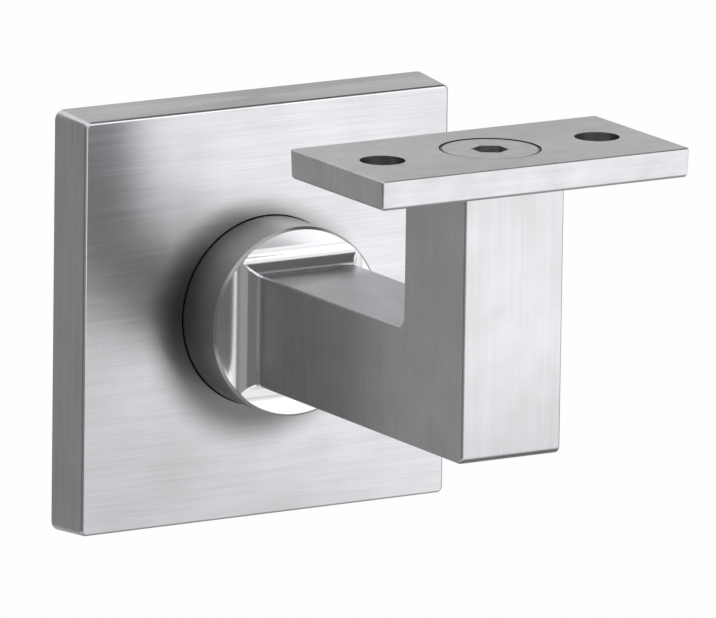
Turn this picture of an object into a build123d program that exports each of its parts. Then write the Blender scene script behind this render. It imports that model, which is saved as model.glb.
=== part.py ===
from build123d import *
import math
import os

# Wall-mounted handrail bracket. The wall is the plane Y = 0 and the bracket reaches out along -Y.
# X runs along the wall, Z is up, and the origin is on the wall behind the axis of the arm.
# All lengths are in millimetres and all angles in degrees.

# Cover rose
rose_side = 80.0          # across the rose at the wall
rose_depth = 10.0         # wall to front face
rose_inset = 0.8          # how far each side leans in from back to front
rose_wall = 1.5
rose_corner = 1.9         # corner radius at the wall, smaller towards the front
rose_edge_round = 0.6     # rounding between front face and sides
rose_inner_corner = 1.0   # corner radius of its hollow at the wall
rose_collar_gap = 0.4     # collar of the rose to the wall plate

# Wall plate
plate_thickness = 6.0
plate_gap = 0.3           # edge of the plate to the inside of the rose
plate_corner = 3.0
wall_hole_spacing = 54.0  # square pattern of four
wall_hole_d = 6.6
wall_hole_sink_d = 12.8

# Boss, arm and post
boss_d = 36.0
boss_reach = 21.5         # wall to front face of the boss
boss_rim_chamfer = 0.5
boss_gap = 0.2            # boss to the bore of the rose, on radius
arm_section = 21.0        # square bar of arm and post
root_fillet = 4.2         # concave flare where the arm leaves the boss
post_reach = 87.0         # wall to the axis of the post
post_top = 40.0           # axis of the arm to the seat of the saddle
elbow_fillet = 2.8        # inner corner between arm and post
heel_round = 1.5          # lower edge of the post's front face
bar_edge_round = 0.5      # long edges of the bar

# Saddle plate
saddle_length = 65.0
saddle_width = 32.5
saddle_thickness = 5.5
saddle_draft = 2.5        # lean of ends and sides
saddle_corner = 0.5
saddle_foot_round = 0.8   # lower outer edges
saddle_lead = 1.6         # axis of the saddle ahead of the axis of the post
rail_hole_spacing = 45.5
rail_hole_d = 8.3
edge_break = 0.2          # small chamfer on sharp machined edges

# Countersunk hex-socket screws
sink_angle = 90.0
socket_turn = 30.0        # turns a corner of each socket to the front
head_land = 0.5           # short cylinder above the cone of a head
head_gap = 0.3            # head to the rim of its countersink, on radius
cone_gap = 0.02           # cone to cone, along the axis
through_gap = 0.3         # shank to its clearance hole, on radius
thread_gap = 0.05         # shank to its tapped hole, on radius
screw_tip = 1.0           # chamfer on the end of a shank
drill_angle = 30.0        # slope of the bottom of a drilled hole
hole_spare = 3.0          # tapped hole beyond the end of its screw
saddle_screw_d = 10.0
saddle_screw_head_d = 18.0
saddle_screw_socket = 6.0
saddle_screw_socket_depth = 3.6
saddle_screw_length = 25.0
saddle_screw_recess = 0.1
arm_screw_d = 8.0
arm_screw_head_d = 16.0
arm_screw_socket = 5.0
arm_screw_socket_depth = 3.0
arm_screw_length = 18.0
arm_screw_recess = 0.3

# Locating pins
pin_d = 4.0
pin_length = 10.0
pin_spacing = 25.0
pin_recess = 0.5          # end of a pin below the back of the wall plate
pin_gap = 0.02            # pin to its hole, on radius
pin_chamfer = 0.4
pin_hole_spare = 1.0

# Grip ring, as squeezed between its groove and the rose
groove_depth = 1.6
groove_width = 2.6
ring_width = 2.2
ring_gap = 0.02           # ring to the floor of the groove and to the rose, on radius

# Worked out from the driving dimensions
bar_half = arm_section / 2
boss_r = boss_d / 2
rose_bore_r = boss_r + boss_gap
saddle_reach = post_reach + saddle_lead
saddle_top = post_top + saddle_thickness
collar_back = plate_thickness + rose_collar_gap
groove_centre = (collar_back + rose_depth) / 2
groove_floor_r = boss_r - groove_depth
overcut = 1.0             # how far a cutter runs past the face it opens
touching = 0.01           # points this close lie on the same face


def out_from_wall(distance, x=0.0):
    """Plane facing out of the wall, at a distance from it."""
    return Plane(origin=(x, -distance, 0), x_dir=(1, 0, 0), z_dir=(0, -1, 0))


def wall_disc(radius, start, end, x=0.0):
    """Cylinder square to the wall, from one distance to another."""
    return extrude(out_from_wall(start, x) * Circle(radius), end - start)


def turned(*outline):
    """Solid turned about Z from the outline of its half section, as radius and height."""
    return revolve(Plane.XZ * make_face(Polyline(*outline, close=True)), Axis.Z)


def point_outward(distance):
    """Place for what points down -Z, so that it points out of the wall from that distance."""
    return Pos(0, -distance, 0) * Rot(-90, 0, 0)


def cone_height(wide_r, narrow_r):
    return (wide_r - narrow_r) / math.tan(math.radians(sink_angle / 2))


def drill_point(radius):
    return radius * math.tan(math.radians(drill_angle))


def countersunk_screw(thread_d, head_d, socket, socket_depth, length):
    """Screw with the top of its head at the origin, pointing down -Z."""
    shank_r, head_r, socket_r = thread_d / 2, head_d / 2, socket / 2
    neck = head_land + cone_height(head_r, shank_r)
    body = turned(
        (0, 0),
        (head_r, 0),
        (head_r, -head_land),
        (shank_r, -neck),
        (shank_r, screw_tip - length),
        (shank_r - screw_tip, -length),
        (0, -length),
    )
    outline = RegularPolygon(socket_r, 6, major_radius=False, rotation=socket_turn)
    hexagon = extrude(outline, -socket_depth)
    return body - hexagon


def countersink_cutter(hole_d, sink_d, land, through):
    """Cutter for a countersunk hole, its mouth at the origin and down -Z."""
    hole_r, sink_r = hole_d / 2, sink_d / 2
    return turned(
        (0, overcut),
        (sink_r, overcut),
        (sink_r, -land),
        (hole_r, -land - cone_height(sink_r, hole_r)),
        (hole_r, -through - overcut),
        (0, -through - overcut),
    )


def screw_seat(thread_d, head_d, recess, through):
    """Countersink in which a screw's cone bears, with its head that far below the face."""
    land = recess + head_land + cone_gap - cone_height(head_d / 2 + head_gap, head_d / 2)
    return countersink_cutter(thread_d + 2 * through_gap, head_d + 2 * head_gap, land, through)


def tapped_hole(thread_d, depth):
    """Cutter for a blind tapped hole, its mouth at the origin and down -Z."""
    radius = thread_d / 2 + thread_gap
    return turned(
        (0, overcut), (radius, overcut), (radius, -depth), (0, -depth - drill_point(radius))
    )


def leaning_block(depth, side_at_wall, corner):
    """Square block out from the wall, with sides that lean in like the rose's."""
    lean = math.degrees(math.atan(rose_inset / rose_depth))
    at_wall = out_from_wall(0) * RectangleRounded(side_at_wall, side_at_wall, corner)
    return extrude(at_wall, depth, taper=lean)


def make_cover_rose():
    outer = leaning_block(rose_depth, rose_side, rose_corner)
    outer = fillet(outer.faces().sort_by(Axis.Y)[0].edges(), rose_edge_round)
    inner = leaning_block(rose_depth - rose_wall, rose_side - 2 * rose_wall, rose_inner_corner)
    collar = wall_disc(rose_bore_r + rose_wall, collar_back, rose_depth - rose_wall / 2)
    return outer - inner + collar - wall_disc(rose_bore_r, 0, rose_depth + overcut)


def make_wall_plate():
    lean = rose_inset * plate_thickness / rose_depth
    side = rose_side - 2 * (rose_wall + lean + plate_gap)
    plate = extrude(out_from_wall(0) * RectangleRounded(side, side, plate_corner), plate_thickness)
    wall_hole = Rot(90, 0, 0) * countersink_cutter(wall_hole_d, wall_hole_sink_d, 0, plate_thickness)
    for hole_x in (-wall_hole_spacing / 2, wall_hole_spacing / 2):
        for hole_z in (-wall_hole_spacing / 2, wall_hole_spacing / 2):
            plate -= Pos(hole_x, -plate_thickness, hole_z) * wall_hole
    seat = screw_seat(arm_screw_d, arm_screw_head_d, arm_screw_recess, plate_thickness)
    plate -= point_outward(0) * seat
    for pin_x in (-pin_spacing / 2, pin_spacing / 2):
        plate -= wall_disc(pin_d / 2 + pin_gap, -overcut, plate_thickness + overcut, pin_x)
    return plate


def make_boss():
    boss = wall_disc(boss_r, plate_thickness, boss_reach)
    rim = boss.edges().filter_by(GeomType.CIRCLE).sort_by(Axis.Y)[0]
    boss = chamfer(rim, boss_rim_chamfer)
    groove_back = groove_centre - groove_width / 2
    groove_front = groove_centre + groove_width / 2
    around = wall_disc(boss_r + overcut, groove_back, groove_front)
    return boss - (around - wall_disc(groove_floor_r, groove_back, groove_front))


def flare_slab(across):
    """Bar with a concave flare at the face of the boss, as seen along one of its cross axes."""
    root = bar_half + root_fillet
    near = root_fillet * (1 - math.sqrt(0.5))
    side = Plane(origin=(0, -boss_reach, 0), x_dir=(0, -1, 0), z_dir=across)
    outline = [
        Line((0, -root), (0, root)),
        ThreePointArc((0, root), (near, bar_half + near), (root_fillet, bar_half)),
        Line((root_fillet, bar_half), (root_fillet, -bar_half)),
        ThreePointArc((root_fillet, -bar_half), (near, -bar_half - near), (0, -root)),
    ]
    return extrude(side * make_face(outline), root, both=True)


def make_root_flare():
    """Mitred flare on four sides, trimmed by the turned rim of the boss."""
    flare = flare_slab((0, 0, 1)) & flare_slab((1, 0, 0))
    return flare & wall_disc(boss_r - boss_rim_chamfer, boss_reach, boss_reach + root_fillet)


def make_bent_bar():
    """Square bar that runs out from the flare and turns up into the post."""
    start = boss_reach + root_fillet
    back, front = post_reach - bar_half, post_reach + bar_half
    side = Plane(origin=(0, 0, 0), x_dir=(0, -1, 0), z_dir=(-1, 0, 0))
    outline = Polyline(
        (start, -bar_half),
        (front, -bar_half),
        (front, post_top),
        (back, post_top),
        (back, bar_half),
        (start, bar_half),
        close=True,
    )
    return extrude(side * make_face(outline), bar_half, both=True)


def cross_edge(bar, distance, height):
    """The bar's edge along X at that distance from the wall and that height."""
    edges = bar.edges().filter_by(Axis.X).filter_by_position(Axis.Y, -distance, -distance)
    return edges.filter_by_position(Axis.Z, height, height)


def is_long_edge(edge):
    """True for what follows the bar or the mitres of its flare, false for cross edges and trims."""
    start, end = edge.start_point(), edge.end_point()
    on_side = min(abs(start.X), abs(end.X)) > bar_half - touching and start.X * end.X > 0
    at_boss = max(start.Y, end.Y) > -boss_reach - touching
    at_top = min(start.Z, end.Z) > post_top - touching
    in_flare = min(start.Y, end.Y) > -boss_reach - root_fillet - touching
    flare_seam = in_flare and abs(start.X - end.X) < touching
    return on_side and not (at_boss or at_top or flare_seam)


def make_bar():
    """Flare and bent bar in one, with their edges rounded."""
    bar = make_root_flare() + make_bent_bar()
    bar = fillet(cross_edge(bar, post_reach - bar_half, bar_half), elbow_fillet)
    bar = fillet(cross_edge(bar, post_reach + bar_half, -bar_half), heel_round)
    return fillet(bar.edges().filter_by(is_long_edge), bar_edge_round)


def make_bracket_arm():
    arm = make_boss() + make_bar()
    screw_depth = arm_screw_recess + arm_screw_length - plate_thickness + hole_spare
    arm -= point_outward(plate_thickness) * tapped_hole(arm_screw_d, screw_depth)
    pin_end = pin_recess + pin_length + pin_hole_spare
    for pin_x in (-pin_spacing / 2, pin_spacing / 2):
        arm -= wall_disc(pin_d / 2 + pin_gap, plate_thickness - overcut, pin_end, pin_x)
    post_depth = saddle_screw_length + saddle_screw_recess - saddle_thickness + hole_spare
    return arm - Pos(0, -saddle_reach, post_top) * tapped_hole(saddle_screw_d, post_depth)


def make_saddle_plate():
    top = Pos(0, -saddle_reach, saddle_top) * RectangleRounded(saddle_length, saddle_width, saddle_corner)
    plate = extrude(top, -saddle_thickness, taper=saddle_draft)
    plate = fillet(plate.faces().sort_by(Axis.Z)[0].edges(), saddle_foot_round)
    plate = chamfer(plate.faces().sort_by(Axis.Z)[-1].edges(), edge_break)
    seat = screw_seat(saddle_screw_d, saddle_screw_head_d, saddle_screw_recess, saddle_thickness)
    plate -= Pos(0, -saddle_reach, saddle_top) * seat
    for hole_x in (-rail_hole_spacing / 2, rail_hole_spacing / 2):
        hole = Cylinder(rail_hole_d / 2, saddle_thickness + 2 * overcut)
        plate -= Pos(hole_x, -saddle_reach, saddle_top - saddle_thickness / 2) * hole
    return plate


def make_saddle_screw():
    screw = countersunk_screw(
        saddle_screw_d,
        saddle_screw_head_d,
        saddle_screw_socket,
        saddle_screw_socket_depth,
        saddle_screw_length,
    )
    return Pos(0, -saddle_reach, saddle_top - saddle_screw_recess) * screw


def make_arm_screw():
    screw = countersunk_screw(
        arm_screw_d, arm_screw_head_d, arm_screw_socket, arm_screw_socket_depth, arm_screw_length
    )
    return point_outward(arm_screw_recess) * screw


def make_locating_pin(pin_x):
    pin = wall_disc(pin_d / 2, pin_recess, pin_recess + pin_length, pin_x)
    return chamfer(pin.edges().filter_by(GeomType.CIRCLE), pin_chamfer)


def make_grip_ring():
    ring_back, ring_front = groove_centre - ring_width / 2, groove_centre + ring_width / 2
    outer = wall_disc(rose_bore_r - ring_gap, ring_back, ring_front)
    return outer - wall_disc(groove_floor_r + ring_gap, ring_back, ring_front)


nodes = {
    "cover_rose": make_cover_rose(),
    "wall_plate": make_wall_plate(),
    "bracket_arm": make_bracket_arm(),
    "arm_screw": make_arm_screw(),
    "locating_pin_left": make_locating_pin(-pin_spacing / 2),
    "locating_pin_right": make_locating_pin(pin_spacing / 2),
    "grip_ring": make_grip_ring(),
    "saddle_plate": make_saddle_plate(),
    "saddle_screw": make_saddle_screw(),
}

os.makedirs("parts", exist_ok=True)
for name, solid in nodes.items():
    export_step(solid, f"parts/{name}.step")
    print(f"{name}: {solid.volume / 1000:.2f} cm3")
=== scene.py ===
import math

import bmesh
import bpy
from mathutils import Matrix, Vector


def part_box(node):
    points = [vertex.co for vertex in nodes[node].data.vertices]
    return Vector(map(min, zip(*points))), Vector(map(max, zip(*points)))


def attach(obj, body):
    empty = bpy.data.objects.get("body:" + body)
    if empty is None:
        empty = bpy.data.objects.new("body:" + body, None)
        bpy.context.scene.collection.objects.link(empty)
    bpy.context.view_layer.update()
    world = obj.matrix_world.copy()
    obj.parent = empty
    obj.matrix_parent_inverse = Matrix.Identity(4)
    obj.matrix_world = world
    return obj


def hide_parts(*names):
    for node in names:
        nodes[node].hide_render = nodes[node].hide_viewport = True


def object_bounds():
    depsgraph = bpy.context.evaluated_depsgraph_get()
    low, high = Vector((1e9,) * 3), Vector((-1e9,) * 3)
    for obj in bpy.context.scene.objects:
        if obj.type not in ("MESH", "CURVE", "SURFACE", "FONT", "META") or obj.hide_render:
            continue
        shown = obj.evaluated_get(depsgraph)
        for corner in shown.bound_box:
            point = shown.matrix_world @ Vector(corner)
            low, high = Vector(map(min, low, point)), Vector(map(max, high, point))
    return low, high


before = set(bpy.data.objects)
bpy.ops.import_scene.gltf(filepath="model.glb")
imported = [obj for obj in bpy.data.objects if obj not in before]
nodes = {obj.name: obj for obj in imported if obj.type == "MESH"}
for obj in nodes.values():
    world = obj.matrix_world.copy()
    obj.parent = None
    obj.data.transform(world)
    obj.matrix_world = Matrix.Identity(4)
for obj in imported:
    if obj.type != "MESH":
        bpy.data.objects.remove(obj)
cadLow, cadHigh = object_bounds()
mm = 0.001

# Places that several pieces share, read from the frame
roseLow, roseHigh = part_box("cover_rose")
armLow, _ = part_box("bracket_arm")
saddleLow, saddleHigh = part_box("saddle_plate")
screwLow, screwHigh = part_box("saddle_screw")
_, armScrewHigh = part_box("arm_screw")
saddleCentre = (saddleLow + saddleHigh) / 2
screwAxis = (screwLow + screwHigh) / 2
print("frame loaded:", len(nodes), "nodes")


# Camera: the photo is taken from the left and a little from above, with a long lens
cameraView = {
    "azimuth": 31.128,      # degrees to the left of straight ahead
    "elevation": 12.549,
    "roll": -0.8,
    "distance": 2593.78 * mm,
    "lens": 697.29,
    "sensorWidth": 36.0,
    "target": (22.262 * mm, -1.76 * mm),  # across and up from the origin, as the camera sees it
    "clip": (0.1, 20),
}


def addCamera(view):
    azimuth, elevation, roll = (math.radians(view[k]) for k in ("azimuth", "elevation", "roll"))
    back = Vector((
        -math.sin(azimuth) * math.cos(elevation),
        -math.cos(azimuth) * math.cos(elevation),
        math.sin(elevation),
    ))
    level = Vector((math.cos(azimuth), -math.sin(azimuth), 0))
    upright = back.cross(level)
    right = math.cos(roll) * level - math.sin(roll) * upright
    up = math.sin(roll) * level + math.cos(roll) * upright
    data = bpy.data.cameras.new("camera")
    data.lens = view["lens"]
    data.sensor_width = view["sensorWidth"]
    data.clip_start, data.clip_end = view["clip"]
    camera = bpy.data.objects.new("camera", data)
    across, along = view["target"]
    place = across * right + along * up + view["distance"] * back
    turn = Matrix((right, up, back)).transposed().to_4x4()
    camera.matrix_world = Matrix.Translation(place) @ turn
    bpy.context.scene.collection.objects.link(camera)
    bpy.context.scene.camera = camera


addCamera(cameraView)
print("camera placed")


# A Link is a socket's value in a node tree, and a sum or product of Links adds the Math nodes
class Link:
    def __init__(self, graph, socket):
        self.graph = graph
        self.socket = socket

    def maths(self, operation, first, second=0.0):
        return self.graph.node("ShaderNodeMath", {"operation": operation}, {0: first, 1: second})

    def __add__(self, other):
        return self.maths("ADD", self, other)

    def __radd__(self, other):
        return self.maths("ADD", other, self)

    def __sub__(self, other):
        return self.maths("SUBTRACT", self, other)

    def __rsub__(self, other):
        return self.maths("SUBTRACT", other, self)

    def __mul__(self, other):
        return self.maths("MULTIPLY", self, other)

    def __rmul__(self, other):
        return self.maths("MULTIPLY", other, self)

    def __truediv__(self, other):
        return self.maths("DIVIDE", self, other)

    def __rtruediv__(self, other):
        return self.maths("DIVIDE", other, self)

    def __pow__(self, other):
        return self.maths("POWER", self, other)

    def __rpow__(self, other):
        return self.maths("POWER", other, self)

    def __abs__(self):
        return self.maths("ABSOLUTE", self)

    def least(self, other):
        return self.maths("MINIMUM", self, other)

    def most(self, other):
        return self.maths("MAXIMUM", self, other)


class Graph:
    def __init__(self, tree):
        self.tree = tree
        self.tree.nodes.clear()

    # Any node: its settings, then the values or links of its sockets, and the output that is wanted
    def node(self, kind, settings=None, inputs=None, output=0):
        made = self.tree.nodes.new(kind)
        for key, value in (settings or {}).items():
            setattr(made, key, value)
        for key, value in (inputs or {}).items():
            if isinstance(value, Link):
                self.tree.links.new(value.socket, made.inputs[key])
            else:
                made.inputs[key].default_value = value
        return Link(self, made.outputs[output]) if made.outputs else made

    def place(self):
        return self.node("ShaderNodeTexCoord", None, None, "Object")

    def facing(self):
        return self.split(self.node("ShaderNodeTexCoord", None, None, "Normal"))

    def split(self, vector):
        parts = self.node("ShaderNodeSeparateXYZ", None, {0: vector})
        outputs = parts.socket.node.outputs
        return [Link(self, outputs[k]) for k in "XYZ"]

    def mixColour(self, factor, first, second, blend="MIX"):
        settings = {"data_type": "RGBA", "blend_type": blend, "clamp_factor": True}
        return self.node("ShaderNodeMix", settings, {0: factor, 6: first, 7: second}, 2)

    def toned(self, colour, where, tone):
        return self.mixColour(where, colour, tone, "MULTIPLY")

    def scaled(self, vector, scale, offset=(0, 0, 0)):
        inputs = {"Vector": vector, "Location": offset, "Scale": scale}
        return self.node("ShaderNodeMapping", None, inputs)

    def noise(self, vector, scale=1.0, detail=2.0, roughness=0.5):
        inputs = {"Vector": vector, "Scale": scale, "Detail": detail, "Roughness": roughness}
        return self.node("ShaderNodeTexNoise", None, inputs)

    def smooth(self, value, low, high, lowResult=0.0, highResult=1.0):
        settings = {"interpolation_type": "SMOOTHSTEP", "clamp": True}
        inputs = {0: value, 1: low, 2: high, 3: lowResult, 4: highResult}
        return self.node("ShaderNodeMapRange", settings, inputs)

    def joined(self, parts):
        made = self.node("GeometryNodeJoinGeometry")
        for part in parts:
            self.tree.links.new(part.socket, made.socket.node.inputs[0])
        return made


def newMaterial(name):
    material = bpy.data.materials.new(name)
    material.use_nodes = True
    return material, Graph(material.node_tree)


def grey(level):
    return (level, level, level, 1.0)


beltGrain, latheGrain = 0.55, 0.6   # how rough the noise is within one mark


# Marks of a brush or a grinding belt: several layers of noise drawn out along one axis
def beltMarks(graph, place, along, layers):
    total = 0.0
    for width, length, share in layers:
        scale = [1 / (width * mm)] * 3
        scale["XYZ".index(along)] = 1 / (length * mm)
        total = graph.noise(graph.scaled(place, scale), 1.0, 2.0, beltGrain) * share + total
    return total


# Soft clouds in a finish, about as large as the size in millimetres
def softClouds(graph, place, size, detail=3.0):
    return graph.noise(place, 1 / (size * mm), detail)


def fromAxis(first, second):
    return (first ** 2.0 + second ** 2.0) ** 0.5


# What turns about an axis through a point: the distance from the axis and the place along it
def aboutAxis(graph, place, centre, axis):
    parts = graph.split(graph.scaled(place, (1, 1, 1), [-value for value in centre]))
    first, second = (part for part, name in zip(parts, "XYZ") if name != axis)
    return fromAxis(first, second), parts["XYZ".index(axis)]


# Fine rings left by a lathe
def latheRings(graph, radius, along, width):
    spot = graph.node("ShaderNodeCombineXYZ", None, {0: radius, 1: along})
    return graph.noise(spot, 1 / (width * mm), 2.0, latheGrain)


# Wear along edges: an edge is near where two of the three distances to faces are small
def edgeWear(graph, distances, width):
    first, second, third = distances
    toEdge = first.least(second).most(third).least(first.most(second))
    return graph.smooth(toEdge, 0.0, width * mm, 1.0, 0.0)


faceTurn = (0.4, 0.6)           # facing squared, from across an axis to along it
roundingStart = (-0.15, -0.5)   # facing down an axis, where an edge's rounding starts and ends
roundingEnd = (-0.98, -0.9)


# The rounding along an edge that faces down an axis, where the photo's studio mirrors dark
def edgeRounding(graph, facing):
    level, turned = roundingStart
    return graph.smooth(facing, turned, level, 1.0, 0.0) * graph.smooth(facing, *roundingEnd)


# Light and dark of a finish: the marks have their share of it and the clouds the rest
def finishTone(graph, look, marks, clouds):
    share = look["markShare"]
    return graph.smooth(marks * share + clouds * (1 - share), *look["toneRange"])


def metalSurface(graph, look, tone, marks, worn=None):
    colour = graph.mixColour(tone, look["dark"], look["light"])
    roughness = look["roughness"] + (marks - 0.5) * look["roughnessSpread"]
    if worn:
        colour = graph.mixColour(worn * look["wearShare"], colour, look["worn"])
        roughness = roughness - worn * look["wearPolish"]
    return colour, roughness


def closeSurface(graph, look, colour, roughness, height, metallic=1.0):
    bumpInputs = {"Strength": look["bump"], "Distance": look["markDepth"] * mm, "Height": height}
    normal = graph.node("ShaderNodeBump", None, bumpInputs)
    inputs = {
        "Metallic": metallic,
        "Anisotropic": look.get("drawn", 0.0),
        "Anisotropic Rotation": look.get("drawnTurn", 0.0),
        "Base Color": colour,
        "Roughness": roughness,
        "Normal": normal,
    }
    surface = graph.node("ShaderNodeBsdfPrincipled", None, inputs)
    graph.node("ShaderNodeOutputMaterial", None, {"Surface": surface})


# Cover rose: brushed along the wall on its face and up and down on its sides
# Every layer of marks has a width and a length in millimetres and a share
roseLook = {
    "dark": (0.61, 0.605, 0.625, 1.0),
    "light": (0.76, 0.755, 0.79, 1.0),
    "worn": (0.86, 0.86, 0.89, 1.0),
    "faceMarks": ((1.6, 36.0, 0.35), (0.45, 16.0, 0.4), (0.16, 7.0, 0.25)),
    "sideMarks": ((1.2, 20.0, 0.4), (0.4, 10.0, 0.35), (0.16, 5.0, 0.25)),
    "cloudSize": 14.0,
    "markShare": 0.65,
    "toneRange": (0.3, 0.7),
    "roughness": 0.25,
    "roughnessSpread": 0.1,
    "bump": 0.25,
    "markDepth": 0.006,
    "drawn": 0.75,
    "drawnTurn": 0.25,
    "sideLean": 0.08,           # the sides lean in by this much of the depth
    "wearWidth": 0.8,
    "wearPatches": (0.3, 0.6),
    "wearShare": 0.35,
    "wearPolish": 0.08,
    "sideShade": 0.82,
    "edgeShade": 0.45,
    "haloCentre": (-1.5, -2.0),     # the dark boss mirrored round its foot, from the arm's axis
    "haloRadius": (17.5, 25.5),
    "haloShare": 0.9,
    "haloTone": 0.14,
    "darkCornerReach": (-55.0, 12.0),     # a darker room mirrored in the face's lower left corner
    "darkCornerSlant": 0.6,
    "darkCornerTone": 0.72,
}


def makeRoseSteel(look):
    material, graph = newMaterial("roseSteel")
    place = graph.place()
    x, y, z = graph.split(place)
    facingX, _, facingZ = graph.facing()
    onSides = graph.smooth(facingX ** 2.0, *faceTurn)
    faceMarks = beltMarks(graph, place, "X", look["faceMarks"])
    sideMarks = beltMarks(graph, place, "Z", look["sideMarks"])
    marks = faceMarks * (1 - onSides) + sideMarks * onSides
    clouds = softClouds(graph, place, look["cloudSize"])
    half = roseHigh.x
    lean = abs(y) * look["sideLean"]
    distances = (half - abs(x) - lean, half - abs(z) - lean, y - roseLow.y)
    worn = edgeWear(graph, distances, look["wearWidth"])
    worn = worn * graph.smooth(clouds, *look["wearPatches"])
    tone = finishTone(graph, look, marks, clouds)
    colour, roughness = metalSurface(graph, look, tone, marks, worn)
    # Painted reflection: the face is darkened in a ring round the boss's foot, where the dark boss is
    # mirrored
    haloX, haloZ = look["haloCentre"]
    near, far = look["haloRadius"]
    fromBoss = fromAxis(x - haloX * mm, z - haloZ * mm)
    halo = graph.smooth(fromBoss, near * mm, far * mm, look["haloShare"], 0.0)
    colour = graph.mixColour(halo, colour, grey(look["haloTone"]))
    # Painted reflection: the face is darker towards its lower left corner, where a darker room is
    # mirrored
    darkCornerFrom, darkCornerTo = look["darkCornerReach"]
    slanted = x * look["darkCornerSlant"] + z
    darkCorner = graph.smooth(slanted, darkCornerFrom * mm, darkCornerTo * mm, 1.0, 0.0) * (1 - onSides)
    colour = graph.toned(colour, darkCorner, grey(look["darkCornerTone"]))
    # Painted shade: the sides are darker than the face
    colour = graph.toned(colour, onSides, grey(look["sideShade"]))
    # Painted shade: the roundings of the right and lower edges are darker, for the dark that the studio
    # mirrors there
    onEdge = edgeRounding(graph, 0 - facingX).most(edgeRounding(graph, facingZ))
    colour = graph.toned(colour, onEdge, grey(look["edgeShade"]))
    closeSurface(graph, look, colour, roughness, marks)
    return material


# Arm, post and boss: a linished casting with polished flares and a turned boss
armLook = {
    "dark": (0.61, 0.605, 0.62, 1.0),
    "light": (0.75, 0.745, 0.775, 1.0),
    "worn": (0.88, 0.88, 0.9, 1.0),
    "sideMarks": ((2.6, 60.0, 0.4), (0.7, 24.0, 0.35), (0.2, 9.0, 0.25)),
    "topMarks": ((1.6, 20.0, 0.4), (0.5, 12.0, 0.35), (0.2, 6.0, 0.25)),
    "ringWidth": 0.35,
    "cloudSize": 6.0,
    "smudgeSize": 15.0,
    "toneShares": (0.5, 0.2, 0.3),  # of marks, clouds and smudges
    "toneRange": (0.32, 0.68),
    "roughness": 0.28,
    "roughnessSpread": 0.08,
    "flareRoughness": 0.13,
    "bossFaceRough": -0.06,
    "bump": 0.2,
    "markDepth": 0.006,
    "drawn": 0.3,
    "wearWidth": 0.5,
    "wearPatches": (0.35, 0.65),
    "wearShare": 0.3,
    "wearPolish": 0.06,
    "section": 21.0,
    "bossBase": 10.0,           # distances from the wall
    "bossReach": 21.5,
    "flareReach": 25.7,
    "rimGap": 0.05,
    "rimBlend": 0.3,
    "bossFaceTone": (0.84, 0.835, 0.86, 1.0),
    "bossFaceTurn": (0.8, 0.95),    # facing squared
    "bossDeepShade": (0.35, 0.355, 0.345, 1.0),
    "bossSideShade": (0.4, 0.405, 0.39, 1.0),
    "bossSideTurn": (0.55, 0.8),
    "bossBelowShade": 0.5,
    "bossBelowRise": (-14.0, -3.0),
    # What the photo's studio mirrors dark in the bar and the post, and where
    "facedTurn": (0.3, 0.8),
    "barTopTone": (0.34, 0.344, 0.34, 1.0),
    "barTopReach": (-34.0, -27.0),
    "barTopAtFlare": 0.5,
    "postBackTone": (0.56, 0.565, 0.56, 1.0),
    "heelTone": (0.84, 0.84, 0.84, 1.0),
    "heelRise": (-10.5, 12.0),
    "heelTurn": (-0.9, -0.6),
    "rightEdgeTone": (0.45, 0.45, 0.45, 1.0),
    "barSideTone": (0.7, 0.705, 0.69, 1.0),
    "barSideReach": (-76.0, -55.0),
    "barSideTurn": (0.5, 0.9),
    "lowerEdgeShade": (0.2, 0.2, 0.2, 1.0),
}


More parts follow.
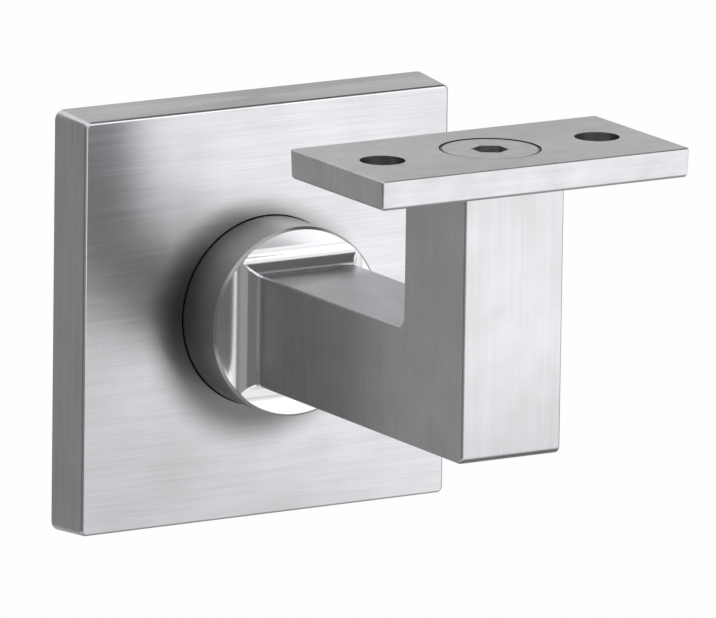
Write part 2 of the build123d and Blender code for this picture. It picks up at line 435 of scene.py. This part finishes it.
def makeArmSteel(look):
    material, graph = newMaterial("armSteel")
    place = graph.place()
    x, y, z = graph.split(place)
    facingX, facingY, facingZ = graph.facing()

    # A ramp between two places in millimetres along an axis
    def between(value, name, lowResult=0.0, highResult=1.0):
        low, high = look[name]
        return graph.smooth(value, low * mm, high * mm, lowResult, highResult)

    onTop = graph.smooth(facingZ ** 2.0, *faceTurn)
    rim, flareEnd, blend = look["bossReach"], look["flareReach"], look["rimBlend"]
    onBoss = graph.smooth(y, (-rim - blend) * mm, (-rim - look["rimGap"]) * mm)
    onFlare = graph.smooth(y, (-flareEnd - blend) * mm, -flareEnd * mm) * (1 - onBoss)
    offFlare = (1 - onBoss) * (1 - onFlare)

    sideMarks = beltMarks(graph, place, "Z", look["sideMarks"])
    topMarks = beltMarks(graph, place, "X", look["topMarks"])
    rings = latheRings(graph, *aboutAxis(graph, place, (0, 0, 0), "Y"), look["ringWidth"])
    flat = sideMarks * (1 - onTop) + topMarks * onTop
    marks = flat * (1 - onBoss) + rings * onBoss
    clouds = softClouds(graph, place, look["cloudSize"])
    smudges = softClouds(graph, place, look["smudgeSize"], 2.0)
    half = look["section"] / 2 * mm
    backOfPost = armLow.y + 2 * half
    inner = (half - z).most(backOfPost - y)
    profile = (z + half).least(y - armLow.y).least(inner)
    distances = (half - abs(x), profile, profile + 1.0)     # the third is never near
    worn = edgeWear(graph, distances, look["wearWidth"])
    worn = worn * graph.smooth(clouds, *look["wearPatches"])
    markShare, cloudShare, smudgeShare = look["toneShares"]
    mixed = marks * markShare + clouds * cloudShare + smudges * smudgeShare
    tone = graph.smooth(mixed, *look["toneRange"])
    colour, roughness = metalSurface(graph, look, tone, marks, worn)

    # Painted reflections: the bar's top, the post's back, the heel, the right and lower edge roundings
    # and the bar's sides are toned darker where the studio mirrors dark
    onBarTop = graph.smooth(facingZ, *look["facedTurn"])
    onBarTop = onBarTop * between(y, "barTopReach", 1.0, look["barTopAtFlare"])
    onHeel = between(z, "heelRise", 1.0, 0.0) * graph.smooth(facingY, *look["heelTurn"], 1.0, 0.0)
    onBarSide = graph.smooth(facingX ** 2.0, *look["barSideTurn"]) * between(y, "barSideReach")
    mirrored = {
        "barTopTone": onBarTop * offFlare,
        "postBackTone": graph.smooth(facingY, *look["facedTurn"]) * offFlare,
        "heelTone": onHeel * offFlare,
        "rightEdgeTone": edgeRounding(graph, 0 - facingX),
        "barSideTone": onBarSide * offFlare,
        "lowerEdgeShade": edgeRounding(graph, facingZ),
    }
    for name, where in mirrored.items():
        colour = graph.toned(colour, where, look[name])

    # Painted shade: the boss's side is dark, darker deeper into the rose and towards its bottom
    outOfRose = graph.smooth(y, -rim * mm, -look["bossBase"] * mm, 1.0, 0.0)
    bossShade = graph.mixColour(outOfRose, look["bossDeepShade"], look["bossSideShade"])
    below = between(z, "bossBelowRise", 1.0, 0.0)
    bossShade = graph.toned(bossShade, below, grey(look["bossBelowShade"]))
    onBossSide = onBoss * graph.smooth(facingY ** 2.0, *look["bossSideTurn"], 1.0, 0.0)
    colour = graph.mixColour(onBossSide, colour, bossShade)
    onBossFace = onBoss * graph.smooth(facingY ** 2.0, *look["bossFaceTurn"])
    colour = graph.mixColour(onBossFace.most(onFlare), colour, look["bossFaceTone"])
    roughness = roughness * (1 - onFlare) + onFlare * look["flareRoughness"]
    roughness = roughness + onBossFace * look["bossFaceRough"]
    closeSurface(graph, look, colour, roughness, marks * (1 - onFlare))
    return material


# Saddle plate: brushed lengthwise, its ends up and down
saddleLook = {
    "dark": (0.62, 0.615, 0.635, 1.0),
    "light": (0.75, 0.745, 0.775, 1.0),
    "worn": (0.88, 0.88, 0.9, 1.0),
    "faceMarks": ((1.4, 30.0, 0.35), (0.4, 14.0, 0.4), (0.15, 6.0, 0.25)),
    "endMarks": ((1.0, 12.0, 0.4), (0.35, 7.0, 0.35), (0.15, 4.0, 0.25)),
    "cloudSize": 5.0,
    "markShare": 0.6,
    "toneRange": (0.32, 0.68),
    "roughness": 0.3,
    "roughnessSpread": 0.08,
    "bump": 0.2,
    "markDepth": 0.006,
    "drawn": 0.3,
    "drawnTurn": 0.25,
    "wearWidth": 0.5,
    "wearPatches": (0.35, 0.65),
    "wearShare": 0.35,
    "wearPolish": 0.06,
    "lowerEdgeShade": (0.4, 0.405, 0.4, 1.0),
    "boreShade": (0.5, 0.505, 0.5, 1.0),
    "boreRadius": 4.15,
    "boreReach": 22.75,         # from the screw to each rail hole
    "sinkShade": (0.12, 0.12, 0.12, 1.0),
    "sinkRadius": 9.3,
    "holeMargin": (0.03, 0.1),
}


def makeSaddleSteel(look):
    material, graph = newMaterial("saddleSteel")
    place = graph.place()
    x, y, z = graph.split(place)
    facingX, _, facingZ = graph.facing()
    onEnds = graph.smooth(facingX ** 2.0, *faceTurn)
    faceMarks = beltMarks(graph, place, "X", look["faceMarks"])
    endMarks = beltMarks(graph, place, "Z", look["endMarks"])
    marks = faceMarks * (1 - onEnds) + endMarks * onEnds
    clouds = softClouds(graph, place, look["cloudSize"])
    halfLength = (saddleHigh.x - saddleLow.x) / 2
    halfWidth = (saddleHigh.y - saddleLow.y) / 2
    distances = (
        halfLength - abs(x - saddleCentre.x),
        halfWidth - abs(y - saddleCentre.y),
        (saddleHigh.z - z).least(z - saddleLow.z),
    )
    worn = edgeWear(graph, distances, look["wearWidth"])
    worn = worn * graph.smooth(clouds, *look["wearPatches"])
    tone = finishTone(graph, look, marks, clouds)
    colour, roughness = metalSurface(graph, look, tone, marks, worn)
    # Painted shade: the rounding along the lower edges is darker
    colour = graph.toned(colour, edgeRounding(graph, facingZ), look["lowerEdgeShade"])
    # Painted shade: the rail holes and the screw's sink are darkened inside
    fromRow = y - screwAxis.y
    holes = (
        (fromAxis(abs(x) - look["boreReach"] * mm, fromRow), look["boreRadius"], look["boreShade"]),
        (fromAxis(x, fromRow), look["sinkRadius"], look["sinkShade"]),
    )
    near, far = look["holeMargin"]
    for fromHole, radius, holeShade in holes:
        inHole = graph.smooth(fromHole, (radius + near) * mm, (radius + far) * mm, 1.0, 0.0)
        colour = graph.toned(colour, inHole, holeShade)
    closeSurface(graph, look, colour, roughness, marks)
    return material


# Screws: turned heads, bright stainless in the saddle and zinc-plated in the wall plate
saddleScrewLook = {
    "name": "saddleScrewSteel",
    "dark": (0.57, 0.57, 0.585, 1.0),
    "light": (0.74, 0.735, 0.76, 1.0),
    "ringWidth": 0.18,
    "cloudSize": 2.5,
    "markShare": 0.55,
    "toneRange": (0.32, 0.68),
    "roughness": 0.26,
    "roughnessSpread": 0.1,
    "bump": 0.25,
    "markDepth": 0.006,
    "axis": "Z",
    "headRadius": 9.0,
    "rimBand": (0.45, 0.2),
    "rimTone": 0.08,
    "rimShade": 0.9,
}
armScrewLook = {
    "name": "armScrewZinc",
    "dark": (0.5, 0.51, 0.54, 1.0),
    "light": (0.66, 0.66, 0.64, 1.0),
    "ringWidth": 0.25,
    "cloudSize": 1.8,
    "markShare": 0.55,
    "toneRange": (0.32, 0.68),
    "roughness": 0.34,
    "roughnessSpread": 0.12,
    "bump": 0.25,
    "markDepth": 0.008,
    "axis": "Y",
    "headRadius": 8.0,
    "rimBand": (0.45, 0.2),
    "rimTone": 0.08,
    "rimShade": 0.4,
}


def makeScrewSteel(look, centre):
    material, graph = newMaterial(look["name"])
    place = graph.place()
    radius, along = aboutAxis(graph, place, centre, look["axis"])
    rings = latheRings(graph, radius, along, look["ringWidth"])
    clouds = softClouds(graph, place, look["cloudSize"])
    tone = finishTone(graph, look, rings, clouds)
    colour, roughness = metalSurface(graph, look, tone, rings)
    # Painted shade: a dark band round the rim of the head, where it sits in the part around it
    innerRim, outerRim = ((look["headRadius"] - inside) * mm for inside in look["rimBand"])
    onRim = graph.smooth(radius, innerRim, outerRim, 0.0, look["rimShade"])
    colour = graph.mixColour(onRim, colour, grey(look["rimTone"]))
    closeSurface(graph, look, colour, roughness, rings)
    return material


# Wall plate: rolled steel with a zinc coat whose crystals show faintly
plateLook = {
    "dark": (0.47, 0.48, 0.5, 1.0),
    "light": (0.6, 0.61, 0.61, 1.0),
    "crystalSize": 3.5,
    "rollMarks": ((1.8, 40.0, 0.5), (0.4, 18.0, 0.5)),
    "markShare": 0.55,
    "toneRange": (0.2, 0.8),
    "roughness": 0.38,
    "roughnessSpread": 0.12,
    "bump": 0.2,
    "markDepth": 0.01,
}


def makePlateZinc(look):
    material, graph = newMaterial("plateZinc")
    place = graph.place()
    cellInputs = {"Vector": place, "Scale": 1 / (look["crystalSize"] * mm)}
    crystals = graph.node("ShaderNodeTexVoronoi", None, cellInputs, "Color")
    shine = graph.split(crystals)[0]
    marks = beltMarks(graph, place, "X", look["rollMarks"])
    tone = finishTone(graph, look, marks, shine)
    colour, roughness = metalSurface(graph, look, tone, marks)
    closeSurface(graph, look, colour, roughness, marks)
    return material


# Locating pins: hardened steel, ground round
pinLook = {
    "dark": (0.44, 0.44, 0.45, 1.0),
    "light": (0.56, 0.56, 0.57, 1.0),
    "grindWidth": 0.12,
    "grindLength": 3.0,
    "cloudSize": 2.0,
    "markShare": 0.6,
    "toneRange": (0.3, 0.7),
    "roughness": 0.22,
    "roughnessSpread": 0.1,
    "bump": 0.2,
    "markDepth": 0.003,
}


def makePinSteel(look):
    material, graph = newMaterial("pinSteel")
    place = graph.place()
    wide, fine = 1 / (look["grindLength"] * mm), 1 / (look["grindWidth"] * mm)
    scratches = graph.noise(graph.scaled(place, (wide, fine, wide)), 1.0, 2.0)
    clouds = softClouds(graph, place, look["cloudSize"])
    tone = finishTone(graph, look, scratches, clouds)
    colour, roughness = metalSurface(graph, look, tone, scratches)
    closeSurface(graph, look, colour, roughness, scratches)
    return material


# Grip ring: matt rubber with a dusty bloom
ringLook = {
    "dark": (0.02, 0.02, 0.02, 1.0),
    "light": (0.045, 0.045, 0.043, 1.0),
    "bloomSize": 2.2,
    "bloomDetail": 4.0,
    "bloomRange": (0.35, 0.65),
    "skinSize": 0.25,
    "skinDetail": 2.0,
    "roughness": (0.62, 0.85),
    "roughnessRange": (0.3, 0.7),
    "bump": 0.4,
    "markDepth": 0.03,
}


def makeRingRubber(look):
    material, graph = newMaterial("ringRubber")
    place = graph.place()
    bloom = softClouds(graph, place, look["bloomSize"], look["bloomDetail"])
    skin = softClouds(graph, place, look["skinSize"], look["skinDetail"])
    tone = graph.smooth(bloom, *look["bloomRange"])
    colour = graph.mixColour(tone, look["dark"], look["light"])
    roughness = graph.smooth(bloom, *look["roughnessRange"], *look["roughness"])
    closeSurface(graph, look, colour, roughness, skin, 0.0)
    return material


def dress(nodeName, material):
    for slot in nodes[nodeName].material_slots:
        slot.material = material


saddleScrewSteel = makeScrewSteel(saddleScrewLook, screwAxis)
armScrewZinc = makeScrewSteel(armScrewLook, (0, 0, 0))
pinSteel = makePinSteel(pinLook)
dress("cover_rose", makeRoseSteel(roseLook))
dress("bracket_arm", makeArmSteel(armLook))
dress("saddle_plate", makeSaddleSteel(saddleLook))
dress("wall_plate", makePlateZinc(plateLook))
dress("locating_pin_left", pinSteel)
dress("locating_pin_right", pinSteel)
dress("grip_ring", makeRingRubber(ringLook))
print("materials given")


# Threads: one tree winds a ridge round a core, from the neck of a screw to its tip
threadInputs = {
    "Head": "NodeSocketGeometry",
    "Neck Radius": "NodeSocketFloat",
    "Neck Length": "NodeSocketFloat",
    "Core Radius": "NodeSocketFloat",
    "Shank Length": "NodeSocketFloat",
    "Tip Length": "NodeSocketFloat",
    "Pitch": "NodeSocketFloat",
    "Steps Round": "NodeSocketInt",
    "Start": "NodeSocketVector",
    "Turn": "NodeSocketVector",
    "Steel": "NodeSocketMaterial",
}
ridgeCorners = 4
tipSlope = 0.7          # how fast the tip narrows along its length
tipFit = 0.998          # the tip starts a hair narrower than the core and inside it,
tipOverlap = 0.05 * mm  # so that no two faces lie on each other


def makeThreadTree():
    tree = bpy.data.node_groups.new("threadedShank", "GeometryNodeTree")
    for name, kind in threadInputs.items():
        tree.interface.new_socket(name=name, in_out="INPUT", socket_type=kind)
    tree.interface.new_socket(name="Screw", in_out="OUTPUT", socket_type="NodeSocketGeometry")
    graph = Graph(tree)
    given = graph.node("NodeGroupInput").socket.node.outputs
    (
        head, neckRadius, neckLength, coreRadius, shankLength, tipLength, pitch, stepsRound,
        start, turn, steel,
    ) = (Link(graph, given[name]) for name in threadInputs)

    def lifted(solid, height):
        lift = graph.node("ShaderNodeCombineXYZ", None, {2: height})
        return graph.node("GeometryNodeTransform", None, {"Geometry": solid, "Translation": lift})

    def barrel(bottomRadius, topRadius, length, bottom):
        sizes = {"Vertices": stepsRound, "Radius Bottom": bottomRadius, "Radius Top": topRadius}
        sizes["Depth"] = length
        return lifted(graph.node("GeometryNodeMeshCone", None, sizes, "Mesh"), bottom)

    bodyLength = shankLength - tipLength
    tipStart, tipEnd = coreRadius * tipFit, coreRadius - tipLength * tipSlope
    neck = barrel(neckRadius, neckRadius, neckLength, 0.0)
    core = barrel(coreRadius, coreRadius, bodyLength, 0.0)
    tip = barrel(tipStart, tipEnd, tipLength, bodyLength - tipOverlap)

    threadLength = bodyLength - neckLength
    turns = threadLength / pitch
    path = graph.node("GeometryNodeCurveSpiral", None, {
        "Resolution": stepsRound,
        "Rotations": turns,
        "Start Radius": coreRadius,
        "End Radius": coreRadius,
        "Height": threadLength,
        "Reverse": True,    # a right-hand thread
    })
    upright = graph.node("GeometryNodeSetCurveNormal", {"mode": "Z_UP"}, {"Curve": path})
    alongPath = graph.node("GeometryNodeSplineParameter", None, None, "Factor")
    fade = (alongPath * turns).least((1 - alongPath) * turns).least(1.0)
    faded = graph.node("GeometryNodeSetCurveRadius", None, {"Curve": upright, "Radius": fade})
    outlineInputs = {"Resolution": ridgeCorners, "Radius": neckRadius - coreRadius}
    outline = graph.node("GeometryNodeCurvePrimitiveCircle", None, outlineInputs, "Curve")
    swept = {"Curve": faded, "Profile Curve": outline, "Fill Caps": True}
    thread = lifted(graph.node("GeometryNodeCurveToMesh", None, swept), neckLength)

    shank = graph.joined([neck, core, tip, thread])
    placing = {"Geometry": shank, "Translation": start, "Rotation": turn}
    shank = graph.node("GeometryNodeTransform", None, placing)
    whole = graph.node("GeometryNodeRealizeInstances", None, {0: graph.joined([head, shank])})
    dressed = graph.node("GeometryNodeSetMaterial", None, {"Geometry": whole, "Material": steel})
    graph.node("NodeGroupOutput", None, {"Screw": dressed})
    return tree


neckDepth = 4.5 * mm    # from the top of a head to where its cone meets the shank
headOverlap = 0.2 * mm  # a head is cut this far down the shank, and the shank starts this far up in it
cutMargin = 0.3 * mm    # corners this near the cut belong to its rim
weldReach = 0.001 * mm


# The head of a screw: the frame's own screw without its shank, closed again where it is cut
def takeHead(nodeName, cut, pointing):
    mesh = nodes[nodeName].data.copy()
    mesh.transform(nodes[nodeName].matrix_world)
    body = bmesh.new()
    body.from_mesh(mesh)

    def pastCut(point):
        return (point - cut).dot(pointing)

    def atCut(corner):
        return abs(pastCut(corner.co)) < cutMargin

    shankFaces = [face for face in body.faces if pastCut(face.calc_center_median()) > 0]
    bmesh.ops.delete(body, geom=shankFaces, context="FACES")
    cutRim = [corner for corner in body.verts if atCut(corner)]
    bmesh.ops.remove_doubles(body, verts=cutRim, dist=weldReach)
    openEdges = [edge for edge in body.edges if edge.is_boundary]
    cutEdges = [edge for edge in openEdges if all(atCut(corner) for corner in edge.verts)]
    bmesh.ops.holes_fill(body, edges=cutEdges)
    body.to_mesh(mesh)
    body.free()
    return mesh


def threadScrew(screw, tree, steel):
    overlap = screw["pointing"] * headOverlap
    mesh = takeHead(screw["node"], screw["start"] + overlap, screw["pointing"])
    mesh.materials.clear()
    mesh.materials.append(steel)
    piece = bpy.data.objects.new(screw["name"], mesh)
    bpy.context.scene.collection.objects.link(piece)
    winding = piece.modifiers.new("winding", "NODES")
    winding.node_group = tree
    values = dict(screw["sizes"])
    values["Start"] = screw["start"] - overlap
    values["Turn"] = screw["turn"]
    values["Steel"] = steel
    sockets = {item.name: item.identifier for item in tree.interface.items_tree}
    for name, value in values.items():
        winding[sockets[name]] = value
    evaluated = piece.evaluated_get(bpy.context.evaluated_depsgraph_get())
    wound = bpy.data.meshes.new_from_object(evaluated)
    piece.modifiers.clear()
    piece.data = wound
    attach(piece, "root")
    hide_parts(screw["node"])
    print(screw["name"], len(wound.polygons), "faces")


saddleScrew = {
    "name": "saddleScrewThreaded",
    "node": "saddle_screw",
    "slot": "screw_stainless",
    "start": Vector((0, screwAxis.y, screwHigh.z - neckDepth)),
    "pointing": Vector((0, 0, -1)),
    "turn": (math.pi, 0, 0),
    "sizes": {
        "Neck Radius": 4.97 * mm,
        "Neck Length": 1.1 * mm,
        "Core Radius": 4.2 * mm,
        "Shank Length": 20.65 * mm,
        "Tip Length": 1.2 * mm,
        "Pitch": 1.5 * mm,
        "Steps Round": 40,
    },
}
armScrew = {
    "name": "armScrewThreaded",
    "node": "arm_screw",
    "slot": "screw_zinc",
    "start": Vector((0, armScrewHigh.y - neckDepth, 0)),
    "pointing": Vector((0, -1, 0)),
    "turn": (math.pi / 2, 0, 0),
    "sizes": {
        "Neck Radius": 3.97 * mm,
        "Neck Length": 1.1 * mm,
        "Core Radius": 3.32 * mm,
        "Shank Length": 13.65 * mm,
        "Tip Length": 1.1 * mm,
        "Pitch": 1.25 * mm,
        "Steps Round": 36,
    },
}

threadTree = makeThreadTree()
threadScrew(saddleScrew, threadTree, saddleScrewSteel)
threadScrew(armScrew, threadTree, armScrewZinc)
print("screws threaded")


# Studio: a white room, with grey cards where the metal has to mirror something dark
studio = {
    "roomLevel": 0.6,       # for matt surfaces only: the metal and the camera see white
    "floorDrop": 0.6,
    "floorSide": 9.0,
    "floorColour": grey(0.85),
    "floorWhite": 0.98,
}
# Where each card stands (degrees to the right of straight ahead, and up), its size in metres
cards = {
    "frontCard": {"azimuth": -19, "elevation": 0, "distance": 1.0, "size": (0.3, 1.2), "level": 0.26},
    "cameraCard": {"azimuth": -46, "elevation": 0, "distance": 1.0, "size": (0.69, 1.2), "level": 0.33},
    "lowFront": {"azimuth": 36, "elevation": -15, "distance": 1.0, "size": (0.8, 0.6), "level": 1.25},
    "leftCard": {"azimuth": -90, "elevation": 0, "distance": 0.9, "size": (0.95, 1.2), "level": 0.17},
    "backLeft": {"azimuth": -148, "elevation": 0, "distance": 0.9, "size": (1.15, 1.2), "level": 0.33},
    "backLow": {"azimuth": 145, "elevation": -18, "distance": 1.0, "size": (1.3, 0.64), "level": 0.3},
    "backHigh": {"azimuth": 145, "elevation": 18, "distance": 1.0, "size": (1.3, 0.64), "level": 0.58},
    "highRight": {"azimuth": 105, "elevation": 56, "distance": 0.9, "size": (1.3, 0.55), "level": 0.12},
}
cardGreen = 1.025   # the grey cards are a little green, the bright one is white
keyBox = {"azimuth": 40, "elevation": 25, "distance": 1.0, "size": (0.45, 0.35), "level": 1.15}


def directionTo(azimuth, elevation):
    azimuth, elevation = math.radians(azimuth), math.radians(elevation)
    return Vector((
        math.sin(azimuth) * math.cos(elevation),
        -math.cos(azimuth) * math.cos(elevation),
        math.sin(elevation),
    ))


def cardMaterial(name, level):
    material, graph = newMaterial(name)
    shade = grey(level) if level > 1 else (level, level * cardGreen, level, 1.0)
    glow = graph.node("ShaderNodeEmission", None, {"Color": shade})
    graph.node("ShaderNodeOutputMaterial", None, {"Surface": glow})
    return material


def addCard(name, card, focus):
    away = directionTo(card["azimuth"], card["elevation"])
    turn = away.to_track_quat("Z", "Y")
    halfWidth, halfHeight = (side / 2 for side in card["size"])
    corners = []
    for across, along in ((-1, -1), (1, -1), (1, 1), (-1, 1)):
        corner = turn @ Vector((across * halfWidth, along * halfHeight, 0))
        corners.append(focus + away * card["distance"] + corner)
    mesh = bpy.data.meshes.new(name)
    mesh.from_pydata(corners, [], [(0, 1, 2, 3)])
    mesh.materials.append(cardMaterial(name, card["level"]))
    board = bpy.data.objects.new(name, mesh)
    bpy.context.scene.collection.objects.link(board)
    board.visible_camera = False
    board.visible_diffuse = False
    board.visible_shadow = False


def addKeyBox(box, focus):
    away = directionTo(box["azimuth"], box["elevation"])
    data = bpy.data.lights.new("keyBox", "AREA")
    data.shape = "RECTANGLE"
    data.size, data.size_y = box["size"]
    data.energy = box["level"] * data.size * data.size_y * math.pi
    lamp = bpy.data.objects.new("keyBox", data)
    lamp.location = focus + away * box["distance"]
    lamp.rotation_mode = "QUATERNION"
    lamp.rotation_quaternion = away.to_track_quat("Z", "Y")
    lamp.visible_camera = False
    bpy.context.scene.collection.objects.link(lamp)


# The room is white to the camera, and in whatever mirrors it or lets it through
def seenWhite(graph):
    camera = graph.node("ShaderNodeLightPath", None, None, "Is Camera Ray")
    outputs = camera.socket.node.outputs
    glossy, clear = (Link(graph, outputs[k]) for k in ("Is Glossy Ray", "Is Transmission Ray"))
    return camera.most(glossy).most(clear)


def addFloor(settings):
    half = settings["floorSide"] / 2
    height = cadLow.z - settings["floorDrop"]
    mesh = bpy.data.meshes.new("floor")
    corners = [(-half, -half, height), (half, -half, height), (half, half, height), (-half, half, height)]
    mesh.from_pydata(corners, [], [(0, 1, 2, 3)])
    floor = bpy.data.objects.new("floor", mesh)
    bpy.context.scene.collection.objects.link(floor)
    material, graph = newMaterial("paleFloor")
    matt = graph.node("ShaderNodeBsdfDiffuse", None, {"Color": settings["floorColour"]})
    white = graph.node("ShaderNodeEmission", None, {"Color": grey(1.0)})
    share = seenWhite(graph) * settings["floorWhite"]
    surface = graph.node("ShaderNodeMixShader", None, {0: share, 1: matt, 2: white})
    graph.node("ShaderNodeOutputMaterial", None, {"Surface": surface})
    mesh.materials.append(material)


def addRoom(settings):
    world = bpy.data.worlds.new("studio")
    world.use_nodes = True
    bpy.context.scene.world = world
    graph = Graph(world.node_tree)
    colour = graph.mixColour(seenWhite(graph), grey(settings["roomLevel"]), grey(1.0))
    light = graph.node("ShaderNodeBackground", None, {"Color": colour})
    graph.node("ShaderNodeOutputWorld", None, {"Surface": light})


focus = (cadLow + cadHigh) / 2
for name, card in cards.items():
    addCard(name, card, focus)
addKeyBox(keyBox, focus)
addFloor(studio)
addRoom(studio)
bpy.context.scene.view_settings.view_transform = "Standard"
print("studio lit")
